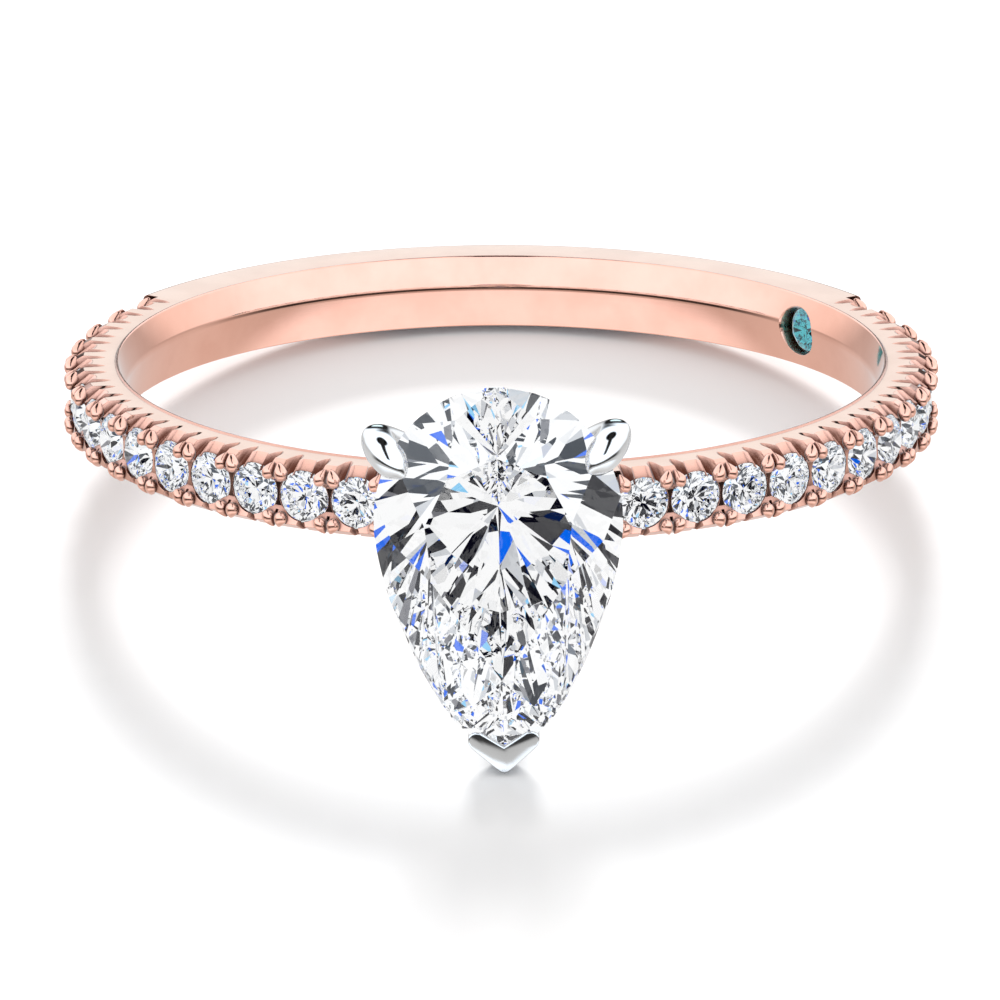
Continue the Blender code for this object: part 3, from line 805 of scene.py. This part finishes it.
def make_claw(direction, extra=0.0):
    """A claw with a soft ridge along its back and a tip drawn to a point over the stone."""
    ahead = Vector((math.cos(direction), math.sin(direction), 0))
    path = [ahead * point.x + Vector((0, 0, point.y))
            for point in smooth_path(CLAW_CENTRE_LINE, PATH_STEPS)]
    centre = ahead * CLAW_FAN_CENTRE[0] + Vector((0, 0, CLAW_FAN_CENTRE[1]))
    ups = [(point - centre).normalized() for point in path]
    last = len(path) - 1

    def section(i, turn):
        taper = 1.0
        if i > CLAW_TAPER_FROM:
            share = (i - CLAW_TAPER_FROM) / (last - CLAW_TAPER_FROM)
            taper = max(math.sqrt(max(0.0, 1 - share ** 2.4)) * 0.93 + 0.07, 0.16)
        across = math.cos(turn) * CLAW_RADIUS * taper
        up = math.sin(turn)
        ridge = CLAW_RIDGE * max(0.0, up) ** 6
        up = up * CLAW_RADIUS * (0.55 + 0.45 * taper) + ridge * CLAW_RADIUS
        return across + extra * math.cos(turn), up + extra * math.sin(turn)

    mesh = loft("claw", path, ups, section)
    mesh.transform(HEAD)
    return mesh


def make_strut(extra=0.0):
    """The round bar that carries the V-shaped end."""
    path = [Vector((0, -point.x, point.y))
            for point in smooth_path(STRUT_CENTRE_LINE, PATH_STEPS)]
    radius = STRUT_RADIUS + extra
    ups = [Vector((0, -0.6, -1))] * len(path)
    mesh = loft("strut", path, ups,
                lambda i, turn: (radius * math.cos(turn), radius * math.sin(turn)))
    mesh.transform(HEAD)
    return mesh


def smooth_outline(half):
    """The chevron's outline with its round corners made finer and its notch kept sharp."""
    run = smooth_path(half[1:-1], 4)
    return [half[0]] + [(point.x, point.y) for point in run] + [half[-1]]


def make_chevron():
    """The V-shaped end: a plate with a soft ridge down its middle and rounded edges."""
    half = smooth_outline(CHEVRON_HALF)
    outline = half + [(-x, y) for x, y in reversed(half[1:-1])]
    bm = bmesh.new()
    low = [bm.verts.new((x, y, CHEVRON_FROM)) for x, y in outline]
    raise_face(bm, bm.faces.new(low), CHEVRON_TO - CHEVRON_FROM)
    for side in (-1, 1):
        normal = Vector((side * math.sin(CHEVRON_SIDE_SLOPE), -math.sin(CHEVRON_END_SLOPE), 1))
        grind(bm, normal.normalized(), Vector(CHEVRON_RIDGE))
    thing = linked("temp", to_mesh(bm, "chevron"))
    bevel = thing.modifiers.new("soft", "BEVEL")
    bevel.width = CHEVRON_EDGE
    bevel.segments = 4
    bevel.limit_method = "ANGLE"
    bevel.angle_limit = math.radians(40)
    mesh = baked(thing)
    mesh.transform(HEAD)
    return mesh


def make_rail():
    """The pear-shaped wire under the stone, which the claws and the strut pass through."""
    outline = pear_outline(64, 32)
    curve = bpy.data.curves.new("rail", "CURVE")
    curve.dimensions = "3D"
    curve.bevel_depth = RAIL_RADIUS
    curve.bevel_resolution = 8
    spline = curve.splines.new("POLY")
    spline.points.add(len(outline) - 1)
    spline.use_cyclic_u = True
    for corner, point in zip(spline.points, outline):
        corner.co = (point.x * RAIL_SHARE, PEAR_CULET_AT + point.y * RAIL_SHARE, RAIL_AT, 1)
    thing = linked("rail", curve)
    thing.matrix_world = HEAD
    return baked(thing)


def make_head():
    stone_room = pear_brilliant("stone_room", FIT)
    stone_room.transform(PEAR_FRAME)
    base_room = make_base(FIT)
    trims = [("DIFFERENCE", stone_room), ("DIFFERENCE", base_room)]
    rooms = []
    for node, direction in CLAW_ANGLES.items():
        claw = combined(make_claw(direction), trims)
        shade(claw, 40)
        piece(node + "_metal", claw, WHITE, "white_gold", node)
        rooms.append(("DIFFERENCE", make_claw(direction, FIT)))
    chevron = combined(make_chevron(), [("UNION", make_strut()), *trims])
    shade(chevron, 40)
    piece("v_claw_metal", chevron, WHITE, "white_gold", "v_claw")
    rooms.append(("DIFFERENCE", make_strut(FIT)))
    rail = combined(make_rail(), rooms)
    shade(rail, 40)
    piece("gallery_rail_metal", rail, WHITE, "white_gold", "gallery_rail")
    base = make_base()
    shade(base, 40)
    piece("head_base_metal", base, WHITE, "white_gold", "head_base")


make_head()


# Studio

# The ring rests on the tip of the V claw and on the back of the band
REST_FRONT = (0, -12.66, -4.89)
REST_BACK = (0, 9.47, -0.79)
TABLE_HALF = 0.6

VIEW_ELEVATION = math.radians(15.93)
VIEW_AZIMUTH = math.radians(0.2)
VIEW_WIDTH = 21.978
VIEW_RIGHT = -0.0264
VIEW_UP = -2.3275
CAMERA_DISTANCE = 0.9
SENSOR = 36
CLIP = (0.05, 10)
LAMP_AT = (0.0, 0.20, 0.15)
LAMP_SIZE = 0.055
LAMP_POWER = 0.8
GEM_BOUNCES = 48


def aim(elevation, azimuth):
    """A direction in the ring's frame: azimuth 0 is behind the ring (+Y), 90 is to the right."""
    e, a = math.radians(elevation), math.radians(azimuth)
    return (math.cos(e) * math.sin(a), math.cos(e) * math.cos(a), math.sin(e))


# Brightness by elevation in degrees, as (elevation, level), in front of and behind the ring
FRONT_BANDS = [(-60, 0.9), (-38, 1.3), (-33.5, 1.25), (-31, 0.65), (-23, 0.58), (-20, 0.04),
               (-10, 0.04), (-7, 0.9), (-1, 1.4), (20, 1.45), (60, 1.3), (85, 1.25)]
BACK_BANDS = [(-60, 0.75), (-30, 0.80), (-12, 0.72), (-4, 0.6), (0, 1.1), (20, 1.4), (60, 1.3),
              (85, 1.25)]
STRAIGHT_DOWN = (0.6, 0.6, 0.6, 1)
FRONT_TO_BACK = (110, 70)
COOLNESS = 0.3

# Round cards that the metal mirrors: direction, inner and outer radius in degrees, colour
ROUND_CARDS = [
    (aim(77, 0), 14, 18, (0.0, 0.0, 0.0)),
    (aim(16, 0), 15, 24, (0.02, 0.02, 0.02)),
    (aim(16, 0), 6.5, 9, (1.05, 1.33, 1.41)),
]

# A thin dark card from overhead towards the viewer, which draws a line along each claw
LINE_CENTRE = aim(108, 0)
LINE_HALF_LENGTH = (46, 38)
LINE_HALF_WIDTH = (9, 6)
LINE_COLOUR = (0.02, 0.02, 0.02)

# Small cards that are seen through the stones: (share of the cards from, colour)
WHITE_CARD = (1.02, 1.02, 1.02)
GEM_CARDS = [
    (0.0, WHITE_CARD), (0.28, (0.0, 0.0, 0.005)), (0.475, (0.62, 0.64, 0.67)),
    (0.59, WHITE_CARD), (0.72, (0.0, 0.14, 0.90)), (0.755, (0.30, 0.68, 1.0)),
    (0.785, (0.20, 0.20, 0.22)), (0.86, WHITE_CARD),
]
GEM_CARD_SCALE = 6.0
GEM_CARD_SHIFT = (5.1, 0.7, 1.9)
EVEN_WHITE = (1.0, 0.985, 0.975)


def make_floor():
    """A pale, slightly glossy table that the V claw's tip and the back of the band rest on."""
    bm = bmesh.new()
    corners = [(-1, -1), (1, -1), (1, 1), (-1, 1)]
    bm.faces.new([bm.verts.new((x * TABLE_HALF, y * TABLE_HALF, 0)) for x, y in corners])
    material, _, _, shader = new_material("pale_table")
    shader.inputs["Base Color"].default_value = (0.90, 0.895, 0.89, 1)
    shader.inputs["Roughness"].default_value = 0.25
    shader.inputs["Specular IOR Level"].default_value = 0.35
    floor = linked("floor", to_mesh(bm, "floor"))
    floor.data.materials.append(material)
    front, back = Vector(REST_FRONT) * METRES, Vector(REST_BACK) * METRES
    slope = math.atan2(back.z - front.z, back.y - front.y)
    floor.matrix_world = Matrix.Translation(front) @ Matrix.Rotation(slope, 4, "X")
    floor.visible_glossy = False
    floor.visible_transmission = False


def make_world():
    """A studio as metal and stones see it: bright all round, with dark cards. The stones see many
    small cards, matt things see an even white, and so does the camera."""
    world = bpy.data.worlds.new("studio")
    bpy.context.scene.world = world
    world.use_nodes = True
    nodes, links = world.node_tree.nodes, world.node_tree.links
    ray = nodes.new("ShaderNodeTexCoord").outputs["Generated"]

    def math_node(operation, value, other=0.0):
        node = nodes.new("ShaderNodeMath")
        node.operation = operation
        links.new(value, node.inputs[0])
        if isinstance(other, (int, float)):
            node.inputs[1].default_value = other
        else:
            links.new(other, node.inputs[1])
        return node.outputs["Value"]

    def angle_to(direction):
        """The angle in degrees between a ray and a direction."""
        dot = nodes.new("ShaderNodeVectorMath")
        dot.operation = "DOT_PRODUCT"
        dot.inputs[1].default_value = Vector(direction).normalized()
        links.new(ray, dot.inputs[0])
        return math_node("MULTIPLY", math_node("ARCCOSINE", dot.outputs["Value"]), 180 / math.pi)

    def fade(value, start, end):
        """0 before start and 1 past end, with a soft step."""
        return mapped(nodes, links, value, (start, end), interpolation="SMOOTHSTEP")

    def mix(share, below, above):
        node = nodes.new("ShaderNodeMix")
        node.data_type = "RGBA"
        links.new(share, node.inputs["Factor"])
        links.new(below, node.inputs["A"])
        if isinstance(above, tuple):
            node.inputs["B"].default_value = (*above, 1)
        else:
            links.new(above, node.inputs["B"])
        return node.outputs["Result"]

    # the angle from straight down, as a share of 180 degrees
    height = math_node("DIVIDE", angle_to((0, 0, -1)), 180)

    def elevation_ramp(levels):
        node = nodes.new("ShaderNodeValToRGB")
        stops = node.color_ramp.elements
        stops.remove(stops[1])
        stops[0].position = 0
        stops[0].color = STRAIGHT_DOWN
        for elevation, level in levels:
            cool = 1 + COOLNESS * max(0.0, level - 1)
            stops.new((elevation + 90) / 180).color = (level, level * cool, level * cool ** 2, 1)
        links.new(height, node.inputs["Fac"])
        return node.outputs["Color"]

    metal_sky = mix(fade(angle_to((0, 1, 0)), *FRONT_TO_BACK), elevation_ramp(FRONT_BANDS),
                    elevation_ramp(BACK_BANDS))
    for direction, inner, outer, colour in ROUND_CARDS:
        metal_sky = mix(fade(angle_to(direction), outer, inner), metal_sky, colour)
    beside = math_node("ABSOLUTE", math_node("SUBTRACT", angle_to((1, 0, 0)), 90))
    line = math_node("MULTIPLY", fade(beside, *LINE_HALF_WIDTH),
                     fade(angle_to(LINE_CENTRE), *LINE_HALF_LENGTH))
    metal_sky = mix(line, metal_sky, LINE_COLOUR)

    shifted = nodes.new("ShaderNodeMapping")
    shifted.inputs["Location"].default_value = GEM_CARD_SHIFT
    links.new(ray, shifted.inputs["Vector"])
    cells = nodes.new("ShaderNodeTexVoronoi")
    cells.inputs["Scale"].default_value = GEM_CARD_SCALE
    links.new(shifted.outputs["Vector"], cells.inputs["Vector"])
    pick = nodes.new("ShaderNodeSeparateColor")
    links.new(cells.outputs["Color"], pick.inputs["Color"])
    cards = nodes.new("ShaderNodeValToRGB")
    cards.color_ramp.interpolation = "CONSTANT"
    stops = cards.color_ramp.elements
    stops.remove(stops[1])
    stops[0].position = GEM_CARDS[0][0]
    stops[0].color = (*GEM_CARDS[0][1], 1)
    for position, colour in GEM_CARDS[1:]:
        stops.new(position).color = (*colour, 1)
    links.new(pick.outputs["Red"], cards.inputs["Fac"])

    path = nodes.new("ShaderNodeLightPath")
    sky = mix(path.outputs["Is Transmission Ray"], metal_sky, cards.outputs["Color"])
    sky = mix(path.outputs["Is Diffuse Ray"], sky, EVEN_WHITE)
    sky = mix(path.outputs["Is Camera Ray"], sky, EVEN_WHITE)
    links.new(sky, nodes["Background"].inputs["Color"])


def make_camera():
    """A long lens in front of the ring and a little above it."""
    ahead = Vector((-math.sin(VIEW_AZIMUTH) * math.cos(VIEW_ELEVATION),
                    math.cos(VIEW_AZIMUTH) * math.cos(VIEW_ELEVATION),
                    -math.sin(VIEW_ELEVATION)))
    right = Vector((math.cos(VIEW_AZIMUTH), math.sin(VIEW_AZIMUTH), 0))
    up = right.cross(ahead)
    target = (right * VIEW_RIGHT + up * VIEW_UP) * METRES
    data = bpy.data.cameras.new("camera")
    data.sensor_width = SENSOR
    data.lens = SENSOR * CAMERA_DISTANCE / (VIEW_WIDTH * METRES)
    data.clip_start, data.clip_end = CLIP
    camera = linked("camera", data)
    matrix = Matrix((right, up, -ahead)).transposed().to_4x4()
    matrix.translation = target - ahead * CAMERA_DISTANCE
    camera.matrix_world = matrix
    bpy.context.scene.camera = camera


def make_lamp():
    """A soft lamp behind the ring, which draws the shadow. Metal and stones don't mirror it."""
    data = bpy.data.lights.new("back", "AREA")
    data.size = LAMP_SIZE
    data.energy = LAMP_POWER
    light = linked("back", data)
    at = Vector(LAMP_AT)
    facing = (-at).to_track_quat("-Z", "Y")
    light.matrix_world = Matrix.Translation(at) @ facing.to_matrix().to_4x4()
    light.visible_glossy = False
    light.visible_transmission = False
    light.visible_camera = False


make_floor()
make_world()
make_camera()
make_lamp()

view = bpy.context.scene.view_settings
view.view_transform = "Standard"
view.look = "None"
cycles = bpy.context.scene.cycles
cycles.max_bounces = GEM_BOUNCES
cycles.transmission_bounces = GEM_BOUNCES
cycles.glossy_bounces = GEM_BOUNCES
cycles.caustics_refractive = True
cycles.caustics_reflective = True
